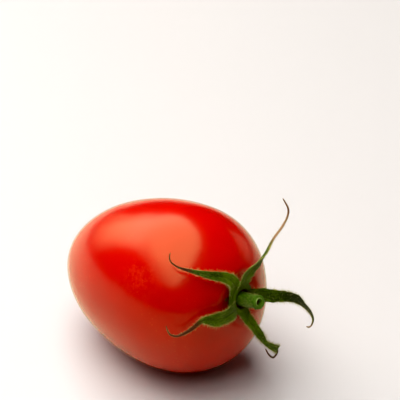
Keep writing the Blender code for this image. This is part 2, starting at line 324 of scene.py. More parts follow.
class StageSettings(bpy.types.PropertyGroup):
    """The floor, the lights and the camera."""

    floor: colour("Floor", "Colour of the floor", (0.605, 0.575, 0.553))
    backdrop: colour("Backdrop", "Colour seen beyond the floor", (0.86, 0.85, 0.84))
    black: colour("Black point", "Level of each colour that shows as black", (0.0, 0.004, 0.0045))
    room: number("Room light", "Strength of the light from the room itself", 0.02)
    window: number("Window light", "Brightness of the big soft light", 3.9)
    window_front: number("Front share", "Brightness of its front corner", 0.56)
    window_low: number("Low share", "Brightness of its low part on the left", 0.34)
    window_warm: colour("Warm end", "Tint of its left end and low part", (1.0, 0.9, 0.68))
    back: FloatProperty(name="Back light", description="Power of the light behind", default=0.25, unit="POWER")
    camera_azimuth: angle("Camera azimuth", "Round from the front to the right", 43.33)
    camera_elevation: angle("Camera elevation", "Above the horizon", 30.12)
    camera_distance: length("Camera distance", "From the point it looks at", 497.7 * MM)


def evaluated_mesh(item):
    bpy.context.view_layer.update()
    graph = bpy.context.evaluated_depsgraph_get()
    return bpy.data.meshes.new_from_object(item.evaluated_get(graph))


def add_object(name, mesh):
    item = bpy.data.objects.new(name, mesh)
    bpy.context.scene.collection.objects.link(item)
    return item


def mesh_of(name, points, faces):
    mesh = bpy.data.meshes.new(name)
    mesh.from_pydata([tuple(point) for point in points], [], faces)
    mesh.update()
    return mesh


def ring_faces(rings, steps, from_top=False):
    """Four-sided faces between each closed ring of points and the next."""
    faces = []
    for ring in range(rings - 1):
        for turn in range(steps):
            here, after = ring * steps + turn, ring * steps + (turn + 1) % steps
            if from_top:
                faces.append((here, here + steps, after + steps, after))
            else:
                faces.append((here, after, after + steps, here + steps))
    return faces


def face_outwards(mesh):
    shell = bmesh.new()
    shell.from_mesh(mesh)
    bmesh.ops.remove_doubles(shell, verts=shell.verts, dist=1e-7)
    bmesh.ops.recalc_face_normals(shell, faces=shell.faces)
    shell.to_mesh(mesh)
    shell.free()
    mesh.update()


def set_attribute(mesh, name, values):
    attribute = mesh.attributes.new(name, "FLOAT", "POINT")
    attribute.data.foreach_set("value", np.asarray(values, np.float32))


def set_grain(mesh, places):
    """Stores where each point lies along the tissue's fibres, for streaks that follow them."""
    attribute = mesh.attributes.new("grain", "FLOAT_VECTOR", "POINT")
    attribute.data.foreach_set("vector", np.asarray(places, np.float32).ravel())


def finish_piece(item, node):
    item.data.shade_smooth()
    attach(item, "root")
    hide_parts(node)


# Shape of the fruit

def fruit_outline(settings, share):
    """(radius, height) on the plain turned outline, for a share from -1 (blossom end) to 1 (stem end)."""
    turn = abs(share) * math.pi / 2
    reach = settings.stem_end if share >= 0 else -settings.blossom_end
    fullness = settings.stem_fullness if share >= 0 else settings.blossom_fullness
    return settings.radius * max(0.0, math.cos(turn)) ** (2 / fullness), reach * math.sin(turn) ** (2 / fullness)


def fruit_skin(settings, x, y, z):
    """The finished skin point for a point of the plain turned outline."""
    radius = math.hypot(x, y)
    bearing = math.atan2(-x, y)
    off_lobe = bearing - settings.heavy_lobe_bearing
    to_stem = max(0.0, z / settings.stem_end)
    swell = settings.lobe_height * to_stem * min(1.0, 2 * radius / settings.radius) * math.cos(3 * off_lobe)
    swell += settings.heavy_lobe * to_stem * radius / settings.radius * max(0.0, math.cos(off_lobe)) ** 2
    share = 1 + swell / radius if radius > 0.5 * MM else 1.0
    share -= settings.taller * math.cos(2 * bearing)
    lift = settings.shoulder_lift * min(1.0, max(0.0, z) / (24 * MM)) ** 6
    if z > 0 and radius < settings.hollow_radius:
        z -= settings.hollow_depth * (1 - (radius / settings.hollow_radius) ** 2) ** 2
    if z < 0:
        z -= settings.scar_height * math.exp(-((radius / settings.scar_radius) ** 2))
    return Vector((x * share - lift, y * share, z))


def fruit_mesh(settings):
    """The skin in the fruit's own frame, each point marked with its distance from the axis, its share to the
    stem end, and how near it is to the small corky spot beside the calyx and to the flecked patch."""
    bearing, out, spot_reach = CORK_SPOT
    spot_turn = math.radians(bearing)
    spot_place = Vector((-math.sin(spot_turn), math.cos(spot_turn))) * out * MM
    rings = settings.rings
    steps = settings.steps
    points = []
    marks = []
    for ring in range(1, rings):
        step = 1 - 2 * ring / rings
        share = 0.45 * step + 0.55 * math.sin(step * math.pi / 2)
        radius, height = fruit_outline(settings, share)
        for turn in range(steps):
            around = 2 * math.pi * turn / steps
            x, y = radius * math.cos(around), radius * math.sin(around)
            place = fruit_skin(settings, x, y, height)
            ripple = noise.noise(place * 75) * 0.10 + noise.noise(place * 190 + Vector((7, 3, 1))) * 0.03
            outward = Vector((place.x, place.y, 0.6 * place.z)).normalized()
            points.append(place + outward * ripple * MM * min(1.0, radius / (8 * MM)))
            near_spot = max(0.0, 1 - (Vector((x, y)) - spot_place).length / (spot_reach * MM)) * (share > 0)
            flecked = math.exp(-(((place - FLECKED_PLACE * MM).length / (FLECKED_REACH * MM)) ** 2))
            marks.append((radius, share, near_spot, flecked))
    points += [
        fruit_skin(settings, 0, 0, settings.stem_end),
        fruit_skin(settings, 0, 0, -settings.blossom_end),
    ]
    marks += [(0, 1, 0, 0), (0, -1, 0, 0)]
    faces = ring_faces(rings - 1, steps, from_top=True)
    last = (rings - 2) * steps
    for turn in range(steps):
        after = (turn + 1) % steps
        faces.append((len(points) - 2, turn, after))
        faces.append((len(points) - 1, last + after, last + turn))
    mesh = mesh_of("fruit_skin", points, faces)
    for name, values in zip(("from_axis", "to_stem", "cork_spot", "flecked"), zip(*marks)):
        set_attribute(mesh, name, values)
    return mesh


def tipped(settings):
    """Turns the fruit's own axis from +Z to +X, stem end tipped up."""
    return Matrix.Rotation(math.pi / 2 - settings.tilt, 4, "Y")


def resting_place(settings):
    """From the fruit's own frame to the row frame, set by the CAD fruit's far end and top."""
    mesh = fruit_mesh(settings)
    mesh.transform(tipped(settings))
    low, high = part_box("fruit")
    least_x = min(vertex.co.x for vertex in mesh.vertices)
    most_z = max(vertex.co.z for vertex in mesh.vertices)
    bpy.data.meshes.remove(mesh)
    return Matrix.Translation((low.x - least_x, 0, high.z - most_z)) @ tipped(settings)


# Shape of the calyx

def smooth_path(stations, count):
    """Even samples of a Catmull-Rom curve through the stations, each of any number of values."""
    ends = [2 * Vector(stations[0]) - Vector(stations[1]), 2 * Vector(stations[-1]) - Vector(stations[-2])]
    knots = [ends[0], *map(Vector, stations), ends[1]]
    samples = []
    for i in range(count):
        place = i / (count - 1) * (len(stations) - 1)
        span = min(int(place), len(stations) - 2)
        t = place - span
        a, b, c, d = knots[span:span + 4]
        samples.append(
            0.5 * (2 * b + (c - a) * t + (2 * a - 5 * b + 4 * c - d) * t * t + (3 * b - a - 3 * c + d) * t ** 3)
        )
    return samples


def calyx_point(fruit, calyx, bearing, out, side, rise):
    """A point in the fruit's own frame, stem end to +Z and upper side to -X."""
    turn = math.radians(bearing)
    across = out * math.cos(turn) - side * math.sin(turn)
    up = out * math.sin(turn) + side * math.cos(turn)
    return Vector((-up * MM - fruit.shoulder_lift, across * MM, rise * MM + calyx.plane))


def blade_frames(fruit, calyx, bearing, stations, count):
    """For each sample of a sepal's middle line: its place, the ways along, across and over, and its width."""
    samples = smooth_path(stations, count)
    middle = [calyx_point(fruit, calyx, bearing, *sample[:3]) for sample in samples]
    frames = []
    for i, sample in enumerate(samples):
        along = (middle[min(i + 1, count - 1)] - middle[max(i - 1, 0)]).normalized()
        across = Vector((0, 0, 1)).cross(along).normalized()
        over = along.cross(across)
        turn = Matrix.Rotation(math.radians(sample[4]), 3, along)
        frames.append((middle[i], along, turn @ across, turn @ over, max(sample[3], 0.2) * MM))
    return frames


def blade_section(calyx, share, reach, sine, width, seed):
    """How far over the middle line a blade's surface lies, at reach (-1 to 1) across it."""
    flat = min(1.0, max(0.0, (width - 0.5 * MM) / (2.2 * MM)))
    core = min(width, calyx.thickness) * (1 - flat) + calyx.thickness * flat
    thick = core + (calyx.edge - core) * flat * abs(reach) ** 1.5
    depth = math.copysign(abs(sine) ** 0.8, sine) * thick / 2
    wave = math.sin(share * 34 + seed + 1.3 * reach) * calyx.wave * abs(reach) ** 2
    rib = -0.10 * MM * math.exp(-((reach / 0.12) ** 2))
    return depth + flat * (calyx.cup * reach ** 2 + wave + rib)


def blade_mesh(fruit, calyx, name, bearing, stations, count, seed):
    frames = blade_frames(fruit, calyx, bearing, stations, count)
    sides = calyx.sides
    points = []
    for i, (middle, along, across, over, width) in enumerate(frames):
        ragged = 1 + 0.05 * math.sin(i * 0.9 + seed) * min(1.0, width / (2 * MM))
        for corner in range(sides):
            turn = 2 * math.pi * corner / sides
            reach = math.cos(turn)
            rise = blade_section(calyx, i / (count - 1), reach, math.sin(turn), width, seed)
            points.append(middle + across * reach * ragged * width / 2 + over * rise)
    ends = [tuple(range(sides)), tuple((count - 1) * sides + k for k in range(sides))]
    mesh = mesh_of(name, points, ends + ring_faces(count, sides))
    face_outwards(mesh)
    return mesh


def hub_mesh(fruit, calyx, steps=72):
    points = []
    for turn in range(steps):
        around = 2 * math.pi * turn / steps
        for radius, height in map(Vector, HUB_PROFILE):
            points.append(Vector((
                radius * math.cos(around) * MM - fruit.shoulder_lift,
                radius * math.sin(around) * MM,
                height * MM + calyx.plane,
            )))
    # The last ring joins the first
    faces = [tuple(k % len(points) for k in face) for face in ring_faces(steps + 1, len(HUB_PROFILE))]
    mesh = mesh_of("calyx_hub", points, faces)
    face_outwards(mesh)
    return mesh


def grown_together(fruit, calyx):
    """The ring and all the sepals as one closed mesh, its joins smoothed."""
    blades = bpy.data.collections.new("blades")
    bpy.context.scene.collection.children.link(blades)
    for seed, (name, (bearing, _, _, stations)) in enumerate(SEPALS.items()):
        count = calyx.stations if name != "thread" else calyx.stations // 2
        mesh = blade_mesh(fruit, calyx, "sepal_" + name, bearing, stations, count, seed * 1.7)
        blades.objects.link(bpy.data.objects.new("sepal_" + name, mesh))
    hub = add_object("calyx_hub", hub_mesh(fruit, calyx))
    union = hub.modifiers.new("Grow together", "BOOLEAN")
    union.operation = "UNION"
    union.operand_type = "COLLECTION"
    union.collection = blades
    union.solver = "EXACT"
    fuse = hub.modifiers.new("Fuse", "REMESH")
    fuse.mode = "VOXEL"
    fuse.voxel_size = calyx.grain
    mesh = evaluated_mesh(hub)
    for item in [hub, *blades.objects]:
        bpy.data.objects.remove(item, do_unlink=True)
    bpy.data.collections.remove(blades)
    shell = bmesh.new()
    shell.from_mesh(mesh)
    from_hub = {vertex: math.hypot(vertex.co.x + fruit.shoulder_lift, vertex.co.y) for vertex in shell.verts}
    for reach, passes in SMOOTHING:
        near = [vertex for vertex in shell.verts if HUB_INNER * MM < from_hub[vertex] < reach * MM]
        for _ in range(passes):
            bmesh.ops.smooth_vert(
                shell, verts=near, factor=0.5, use_axis_x=True, use_axis_y=True, use_axis_z=True
            )
    shell.to_mesh(mesh)
    shell.free()
    return mesh


def mark_sepals(fruit, calyx, mesh):
    """Gives each point how dry and pale it is, how deep green it is with painted shade and light added, how near
    a blade's edge it lies, and its grain.
    """
    places, acrosses, rows = [], [], []
    travelled = 0.0
    for name, (bearing, dry_from, tone, stations) in SEPALS.items():
        frames = blade_frames(fruit, calyx, bearing, stations, 120)
        all_over, deeper, where = DEEPNESS_AND_SHADE[name]
        travelled += 40.0
        for i, (middle, _, across, _, width) in enumerate(frames):
            share = i / (len(frames) - 1)
            travelled += (middle - frames[max(i - 1, 0)][0]).length / MM
            dry = min(1.0, max(0.0, (share - dry_from) / 0.22))
            straw = min(1.0, max(0.0, tone + 0.5 * (share - 0.8)))
            # Painted light: the root of each sepal, beside the ring, is made paler to lift the shade that falls
            # there
            root = 0.25 * math.exp(-((share / 0.12) ** 2))
            deep_and_shaded = all_over + deeper * math.exp(-(((share - where) / 0.16) ** 2)) - root
            places.append(middle)
            acrosses.append(across)
            rows.append((width / 2, travelled, dry, straw, deep_and_shaded))
    places, acrosses = np.array(places), np.array(acrosses)
    co = np.array([vertex.co for vertex in mesh.vertices])
    near = np.empty(len(co), int)
    for start in range(0, len(co), 4000):
        gaps = np.linalg.norm(co[start:start + 4000, None] - places[None], axis=2)
        near[start:start + 4000] = gaps.argmin(1)
    half, along, dry, straw, deep_and_shaded = np.array(rows)[near].T
    offset = ((co - places[near]) * acrosses[near]).sum(1)
    from_hub = np.hypot(co[:, 0] + fruit.shoulder_lift, co[:, 1])
    root = np.clip((from_hub - 4.5 * MM) / (3 * MM), 0, 1)
    set_attribute(mesh, "dryness", dry)
    set_attribute(mesh, "straw", straw)
    set_attribute(mesh, "deep_and_shaded", deep_and_shaded)
    set_attribute(mesh, "edge", np.clip(np.abs(offset) / half, 0, 1) * root)
    set_attribute(mesh, "from_hub", from_hub / MM)
    set_grain(mesh, np.stack([offset / MM, along * calyx.stretch, 0 * offset], 1))


def add_hair(points, faces, root, way, reach, radius):
    """One three-sided hair, closed at its root."""
    side = way.orthogonal().normalized()
    other = way.cross(side)
    first = len(points)
    for corner in range(3):
        turn = 2 * math.pi * corner / 3
        points.append(root - way * radius * 2 + (side * math.cos(turn) + other * math.sin(turn)) * radius)
    points.append(root + way * reach)
    faces += [
        (first, first + 1, first + 3),
        (first + 1, first + 2, first + 3),
        (first + 2, first, first + 3),
        (first + 2, first + 1, first),
    ]


def hairs_mesh(fruit, calyx, stem):
    """Fine hairs along the sepals' edges and faces and round the stem."""
    draw = random.Random(11)
    points = []
    faces = []
    for seed, (name, (bearing, _, _, stations)) in enumerate(SEPALS.items()):
        count = 240
        frames = blade_frames(fruit, calyx, bearing, stations, count)
        hairs = calyx.hairs if name != "thread" else calyx.hairs // 5
        for _ in range(hairs):
            i = int(count * (0.06 + 0.93 * draw.random()))
            middle, along, across, over, width = frames[min(i, count - 1)]
            on_edge = draw.random() < 0.6
            turn = draw.gauss(0, 0.35) if on_edge else draw.uniform(0, 2 * math.pi)
            if on_edge and draw.random() < 0.5:
                turn += math.pi
            reach = math.cos(turn)
            rise = blade_section(calyx, i / (count - 1), reach, math.sin(turn), width, seed * 1.7)
            root = middle + across * reach * width / 2 + over * rise
            way = across * reach + over * (math.sin(turn) * (0.5 if on_edge else 1.4))
            way += along * draw.gauss(0.25, 0.25)
            way += Vector((draw.gauss(0, 0.2), draw.gauss(0, 0.2), draw.gauss(0, 0.2)))
            size = calyx.hair_length * (0.35 + 0.65 * draw.random() ** 2) * min(1.0, width / (1.4 * MM))
            if draw.random() < width / (0.9 * MM):
                add_hair(points, faces, root, way.normalized(), size, calyx.hair_radius)
    path = stem_path(fruit, calyx, stem)
    for _ in range(calyx.hairs // 2):
        share = 0.25 + 0.72 * draw.random()
        place = share * (len(path) - 1)
        span = min(int(place), len(path) - 2)
        along = (path[span + 1] - path[span]).normalized()
        side = along.orthogonal().normalized()
        turn = draw.uniform(0, 2 * math.pi)
        way = side * math.cos(turn) + along.cross(side) * math.sin(turn)
        root = path[span].lerp(path[span + 1], place - span) + way * stem.radius * 0.99
        lean = way + along * draw.gauss(0.1, 0.3) + along.cross(way) * draw.gauss(0, 0.3)
        size = calyx.hair_length * (0.3 + 0.5 * draw.random())
        add_hair(points, faces, root, lean.normalized(), size, calyx.hair_radius)
    return mesh_of("calyx_hairs", points, faces)


# Shape of the stem

def stem_path(fruit, calyx, stem, count=33):
    """Middle line of the stub: straight out of the calyx, then leaning a little to one side."""
    path = []
    for i in range(count):
        share = i / (count - 1)
        height = stem.base_height + (stem.top_height - stem.base_height) * share
        lean = stem.lean * share ** 1.7
        side = stem.lean_side * share ** 1.7
        across = lean * math.cos(stem.lean_bearing) - side * math.sin(stem.lean_bearing)
        up = lean * math.sin(stem.lean_bearing) + side * math.cos(stem.lean_bearing)
        path.append(Vector((-up - fruit.shoulder_lift, across, calyx.plane + height)))
    return path


def stem_mesh(fruit, calyx, stem, steps=64):
    path = stem_path(fruit, calyx, stem)
    last = len(path) - 1
    # Each ring: (index along the path, radius, distance beyond that point, how cut it is)
    rings = []
    for i in range(last + 1):
        share = i / last
        radius = stem.radius + (stem.base_radius - stem.radius) * max(0.0, 1 - share * 2.2) ** 1.5
        rings.append((i, radius * (1 + 0.03 * math.sin(share * 7)), 0.0, 0.0))
    # The rounded edge, the cut face, the raised lip round the pith, then down into the pith
    rings += [
        (last, stem.radius * 0.985, 0.08 * MM, 0.4),
        (last, stem.radius * 0.93, 0.16 * MM, 0.6),
        (last, stem.radius * 0.80, 0.14 * MM, 0.6),
        (last, stem.bore_radius * 1.70, 0.15 * MM, 0.6),
        (last, stem.bore_radius * 1.48, 0.30 * MM, 1.0),
        (last, stem.bore_radius * 1.25, 0.30 * MM, 1.0),
        (last, stem.bore_radius * 1.08, 0.02 * MM, 0.6),
        (last, stem.bore_radius * 0.92, -0.5 * MM, 0.5),
        (last, stem.bore_radius * 0.6, -stem.bore_depth, 0.1),
    ]
    points = []
    ends = []
    recess_shades = []
    grain = []
    for index, radius, beyond, cut in rings:
        along = (path[min(index + 1, last)] - path[max(index - 1, 0)]).normalized()
        if index == last:
            along = (path[last] - path[last - 1]).normalized()
        side = Vector((0, 1, 0)).cross(along).normalized()
        other = along.cross(side)
        for turn in range(steps):
            around = 2 * math.pi * turn / steps
            ridges = 1 + 0.016 * math.cos(5 * around + 0.7) + 0.012 * math.cos(9 * around)
            torn = math.exp(-(((around - 5.45) / 0.22) ** 2)) * (cut > 0.3) * (radius > stem.radius * 0.9)
            raised = 0.22 * MM * math.exp(-(((around - 3.8) / 0.8) ** 2)) * (cut == 1.0)
            ragged = 0.05 * MM * math.sin(3 * around + 1) * min(1.0, cut * 2)
            out = side * math.cos(around) + other * math.sin(around)
            size = radius * (ridges if radius > stem.radius * 0.7 else 1.0)
            rise = beyond + ragged + raised - torn * 0.5 * MM
            points.append(path[index] + out * (size + torn * 0.45 * MM) + along * rise)
            # Painted highlight: round the lip of the pith the mark rises and falls, so its pale colour is
            # strongest on the lit side and fades round the other
            ends.append(max(cut, torn) if cut < 1.0 else 0.82 + 0.18 * math.sin(around - 2.3))
            grain.append((radius * math.cos(around) / MM, radius * math.sin(around) / MM, index * 0.07))
            # Painted shade: the stem's foot down in the calyx and the inside of the pith are marked to be
            # painted dark
            recess_shades.append(min(1.0, max(0.0, 1.3 - index / last * 8)) if cut == 0 else 0.9 * (beyond < -0.5 * MM))
    foot = len(points)
    points.append(path[0])
    points.append(path[last] - (path[last] - path[last - 1]).normalized() * (stem.bore_depth + 0.05 * MM))
    ends += [0.0, 0.3]
    recess_shades += [1.0, 1.0]
    grain += [(0, 0, 0), (0, 0, last * 0.07)]
    faces = ring_faces(len(rings), steps)
    top = (len(rings) - 1) * steps
    for turn in range(steps):
        after = (turn + 1) % steps
        faces.append((foot, after, turn))
        faces.append((foot + 1, top + turn, top + after))
    mesh = mesh_of("stem_stub", points, faces)
    set_attribute(mesh, "cut", ends)
    set_attribute(mesh, "depth", recess_shades)
    set_grain(mesh, grain)
    return mesh


# Materials

class Graph:
    """Adds nodes to a material or a group, and links them by name."""

    def __init__(self, tree):
        self.tree = tree

    def node(self, kind, **settings):
        made = self.tree.nodes.new(kind)
        for name, value in settings.items():
            setattr(made, name, value)
        return made

    def feed(self, socket, value):
        if isinstance(value, bpy.types.NodeSocket):
            self.tree.links.new(value, socket)
        else:
            socket.default_value = value

    def fill(self, node, values):
        for name, value in values.items():
            self.feed(node.inputs[name], value)

    def attribute(self, name):
        return self.node("ShaderNodeAttribute", attribute_name=name).outputs["Fac"]

    def place(self):
        return self.node("ShaderNodeTexCoord").outputs["Object"]

    def grain(self):
        return self.node("ShaderNodeAttribute", attribute_name="grain").outputs["Vector"]

    def noise(self, scale, detail=3.0, roughness=0.5, at=None):
        made = self.node("ShaderNodeTexNoise")
        at = self.place() if at is None else at
        self.fill(made, {"Scale": scale, "Detail": detail, "Roughness": roughness, "Vector": at})
        return made.outputs["Fac"]

    def ramp(self, value, low, high, to_low=0.0, to_high=1.0, smooth=True):
        made = self.node("ShaderNodeMapRange", interpolation_type="SMOOTHSTEP" if smooth else "LINEAR")
        self.fill(made, {"Value": value, "From Min": low, "From Max": high, "To Min": to_low, "To Max": to_high})
        return made.outputs["Result"]

    def math(self, operation, first, second=0.0):
        made = self.node("ShaderNodeMath", operation=operation)
        self.feed(made.inputs[0], first)
        self.feed(made.inputs[1], second)
        return made.outputs[0]

    def times(self, first, second):
        return self.math("MULTIPLY", first, second)

    def plus(self, first, second):
        return self.math("ADD", first, second)

    def minus(self, first, second):
        return self.math("SUBTRACT", first, second)

    def larger(self, first, second):
        return self.math("MAXIMUM", first, second)

    def mix(self, share, first, second):
        made = self.node("ShaderNodeMix", data_type="RGBA")
        self.feed(made.inputs["Factor"], share)
        sockets = [socket for socket in made.inputs if socket.type == "RGBA"]
        for socket, value in zip(sockets, (first, second)):
            self.feed(socket, value if isinstance(value, bpy.types.NodeSocket) else (*value, 1.0))
        return [socket for socket in made.outputs if socket.type == "RGBA"][0]

    def bump(self, height, strength, distance, normal=None):
        made = self.node("ShaderNodeBump")
        self.fill(made, {"Strength": strength, "Distance": distance, "Height": height})
        if normal is not None:
            self.feed(made.inputs["Normal"], normal)
        return made.outputs["Normal"]

    def group(self, tree, **values):
        made = self.node("ShaderNodeGroup")
        made.node_tree = tree
        self.fill(made, {name.replace("_", " "): value for name, value in values.items()})
        return made.outputs


def new_group(name, given, made):
    """A node group with these number inputs and outputs: the group, its graph, and both ends' sockets."""
    tree = bpy.data.node_groups.new(name, "ShaderNodeTree")
    for title, default in given.items():
        tree.interface.new_socket(title, in_out="INPUT", socket_type="NodeSocketFloat").default_value = default
    for title in made:
        tree.interface.new_socket(title, in_out="OUTPUT", socket_type="NodeSocketFloat")
    graph = Graph(tree)
    return tree, graph, graph.node("NodeGroupInput").outputs, graph.node("NodeGroupOutput").inputs


def mottling_group():
    """Soft patches, and clusters of tiny round dots, at given scales."""
    found = bpy.data.node_groups.get("Mottling")
    if found:
        return found
    scales = {"Patch Scale": 100.0, "Dot Scale": 900.0, "Dot Size": 0.2}
    tree, graph, given, made = new_group("Mottling", scales, ("Patches", "Dots"))
    patches = graph.noise(given["Patch Scale"], 2.0, 0.45)
    graph.feed(made["Patches"], graph.ramp(patches, 0.25, 0.75, smooth=False))
    cells = graph.node("ShaderNodeTexVoronoi")
    graph.fill(cells, {"Vector": graph.place(), "Scale": given["Dot Scale"]})
    clusters = graph.ramp(graph.noise(given["Patch Scale"], 1.0), 0.5, 0.66)
    dots = graph.ramp(cells.outputs["Distance"], given["Dot Size"], 0.0)
    graph.feed(made["Dots"], graph.times(dots, clusters))
    return tree


def fine_relief_group():
    """Height of a finely pitted, softly uneven surface, at a given scale."""
    found = bpy.data.node_groups.get("Fine relief")
    if found:
        return found
    scales = {"Soft Scale": 150.0, "Fine Scale": 2500.0, "Fine Share": 0.2}
    tree, graph, given, made = new_group("Fine relief", scales, ("Height",))
    soft = graph.noise(given["Soft Scale"], 2.0, 0.5)
    fine = graph.noise(given["Fine Scale"], 2.0, 0.6)
    graph.feed(made["Height"], graph.plus(soft, graph.times(fine, given["Fine Share"])))
    return tree


def new_material(name):
    made = bpy.data.materials.new(name)
    made.use_nodes = True
    return made, Graph(made.node_tree), made.node_tree.nodes["Principled BSDF"]


def dimmed(colour, share):
    return tuple(share * value for value in colour)


def skin_material(fruit):
    made, graph, shader = new_material("glossy_red_skin")
    mottling = graph.group(mottling_group(), Patch_Scale=85.0, Dot_Scale=820.0, Dot_Size=0.3)
    flecks = graph.group(mottling_group(), Patch_Scale=330.0, Dot_Scale=1500.0, Dot_Size=0.5)
    relief = graph.group(fine_relief_group(), Soft_Scale=60.0, Fine_Scale=900.0, Fine_Share=0.03)
    flecked = graph.attribute("flecked")
    from_axis = graph.times(graph.attribute("from_axis"), 1000.0)
    to_stem = graph.attribute("to_stem")
    at_stem = graph.ramp(to_stem, 0.3, 0.4)
    at_blossom = graph.ramp(to_stem, -0.9, -0.95)
    base = graph.mix(mottling["Patches"], fruit.ripe_red, fruit.warm_red)
    base = graph.mix(graph.times(mottling["Dots"], 0.2), base, fruit.fleck)
    haze = graph.ramp(graph.noise(420.0, 4.0, 0.7), 0.42, 0.66, 0.0, 0.6)
    base = graph.mix(graph.times(haze, flecked), base, fruit.haze)
    base = graph.mix(graph.times(graph.times(flecks["Dots"], flecked), 0.35), base, fruit.fleck)
    ragged = graph.plus(from_axis, graph.times(graph.noise(700.0, 4.0, 0.7), 2.4))
    cork_ring = graph.times(at_stem, graph.ramp(ragged, 6.4, 5.6))
    crumbs = graph.noise(1500.0, 3.0, 0.7)
    near_spot = graph.attribute("cork_spot")
    spot = graph.ramp(graph.plus(near_spot, graph.times(crumbs, 0.9)), 0.8, 1.05)
    spot = graph.times(spot, graph.ramp(near_spot, 0.0, 0.2))
    scar = graph.times(at_blossom, graph.ramp(ragged, 2.7, 1.7))
    cork = graph.larger(graph.larger(cork_ring, spot), scar)
    cork_colour = graph.mix(graph.ramp(crumbs, 0.35, 0.65), dimmed(fruit.cork, 0.4), fruit.cork)
    cork_colour = graph.mix(at_blossom, cork_colour, graph.mix(crumbs, fruit.cork, fruit.scar))
    # Apart from the cork it stays below 0.272, because the denoiser draws a faint ring where it crosses 0.274
    rough = graph.ramp(mottling["Patches"], 0.0, 1.0, 0.19, 0.205)
    dull = graph.times(at_stem, graph.ramp(from_axis, 19.0, 11.0, 0.0, 0.062))
    smooth = graph.bump(relief["Height"], 0.3, 0.2 * MM)
    crust = graph.times(graph.noise(2200.0, 4.0, 0.7), cork)
    graph.fill(shader, {
        "Base Color": graph.mix(graph.times(cork, 0.85), base, cork_colour),
        "Roughness": graph.plus(rough, graph.larger(dull, graph.times(cork, 0.4))),
        "Specular Tint": (*fruit.gloss, 1.0),
        "IOR": 1.5,
        "Coat Weight": 1.0,
        "Coat IOR": 1.06,
        "Coat Roughness": 0.2,
        "Coat Tint": (*fruit.cuticle, 1.0),
        "Subsurface Weight": 0.12,
        "Subsurface Radius": (1.0, 0.12, 0.05),
        "Subsurface Scale": 1.5 * MM,
        "Normal": graph.bump(crust, 0.8, 0.3 * MM, smooth),
    })
    return made


def leaf_material(calyx):
    made, graph, shader = new_material("hairy_green_leaf")
    mottling = graph.group(mottling_group(), Patch_Scale=300.0, Dot_Scale=2600.0, Dot_Size=0.45)
    relief = graph.group(fine_relief_group(), Soft_Scale=900.0, Fine_Scale=3200.0, Fine_Share=0.6)
    edge = graph.attribute("edge")
    fine = graph.ramp(graph.noise(2.3, 3.0, 0.6, at=graph.grain()), 0.3, 0.7, smooth=False)
    speckle = graph.ramp(graph.noise(2600.0, 2.0, 0.6), 0.3, 0.7, smooth=False)
    blend = graph.plus(graph.times(fine, 0.4), graph.times(mottling["Patches"], 0.3))
    blend = graph.plus(blend, graph.times(speckle, 0.3))
    # Painted shade and light: the green is darkened where a sepal turns away from the light and lightened at the
    # roots; the rest of this darkening is the sepals' own deeper tone
    blend = graph.minus(blend, graph.times(graph.attribute("deep_and_shaded"), 0.7))
    green = graph.mix(graph.ramp(blend, 0.1, 0.85, smooth=False), calyx.deep_green, calyx.green)
    midrib = graph.ramp(edge, 0.14, 0.02)
    green = graph.mix(graph.times(midrib, 0.35), green, calyx.deep_green)
    green = graph.mix(graph.times(mottling["Dots"], 0.5), green, calyx.rim)
    ragged = graph.ramp(graph.noise(900.0, 3.0, 0.6), 0.3, 0.65, 0.25, 1.0)
    rim = graph.times(graph.ramp(edge, 0.74, 0.98), ragged)
    green = graph.mix(rim, green, calyx.rim)
    dry = graph.mix(graph.attribute("straw"), calyx.brown, calyx.straw)
    dry = graph.mix(graph.times(rim, 0.3), dry, calyx.straw)
    patchy = graph.times(graph.minus(graph.noise(600.0, 3.0), 0.5), 0.7)
    dryness = graph.ramp(graph.plus(graph.attribute("dryness"), patchy), 0.25, 0.75)
    # Painted shade: the calyx is darkened in the groove round the stem, where shade falls
    painted_groove_shade = graph.ramp(graph.attribute("from_hub"), 3.15, 2.75, 0.0, 0.85)
    ridges = graph.plus(relief["Height"], graph.times(midrib, -0.5))
    ridges = graph.plus(ridges, graph.times(fine, 0.6))
    graph.fill(shader, {
        "Base Color": graph.mix(painted_groove_shade, graph.mix(dryness, green, dry), dimmed(calyx.deep_green, 0.3)),
        "Roughness": graph.ramp(fine, 0.0, 1.0, 0.6, 0.75),
        "Specular IOR Level": 0.15,
        "Subsurface Weight": 0.1,
        "Subsurface Radius": (0.3, 1.0, 0.1),
        "Subsurface Scale": 0.4 * MM,
        "Sheen Weight": 0.2,
        "Sheen Roughness": 0.4,
        "Sheen Tint": (*calyx.hair, 1.0),
        "Normal": graph.bump(ridges, 0.8, 0.2 * MM),
    })
    return made


def stem_material(stem, calyx):
    made, graph, shader = new_material("cut_green_stem")
    mottling = graph.group(mottling_group(), Patch_Scale=500.0, Dot_Scale=2400.0, Dot_Size=0.4)
    relief = graph.group(fine_relief_group(), Soft_Scale=1100.0, Fine_Scale=3600.0, Fine_Share=0.6)
    fine = graph.ramp(graph.noise(2.4, 3.0, 0.65, at=graph.grain()), 0.32, 0.68, smooth=False)
    blend = graph.plus(graph.times(fine, 0.6), graph.times(mottling["Patches"], 0.4))
    green = graph.mix(blend, stem.green, stem.streak)
    green = graph.mix(graph.times(mottling["Dots"], 0.5), green, calyx.rim)
    # Painted shade: the stem goes dark brown at its foot in the calyx and down in the pith
    green = graph.mix(graph.ramp(graph.attribute("depth"), 0.0, 1.0), green, calyx.brown)
    cut = graph.attribute("cut")
    base = graph.mix(graph.ramp(cut, 0.35, 0.6), green, stem.cut)
    graph.fill(shader, {
        # Pale lip round the pith, and a painted highlight on its lit side
        "Base Color": graph.mix(graph.ramp(cut, 0.7, 1.0), base, stem.lip_and_highlight),
        "Roughness": graph.ramp(mottling["Patches"], 0.0, 1.0, 0.45, 0.6),
        "Specular IOR Level": 0.25,
        "Normal": graph.bump(graph.plus(relief["Height"], fine), 0.8, 0.2 * MM),
    })
    return made


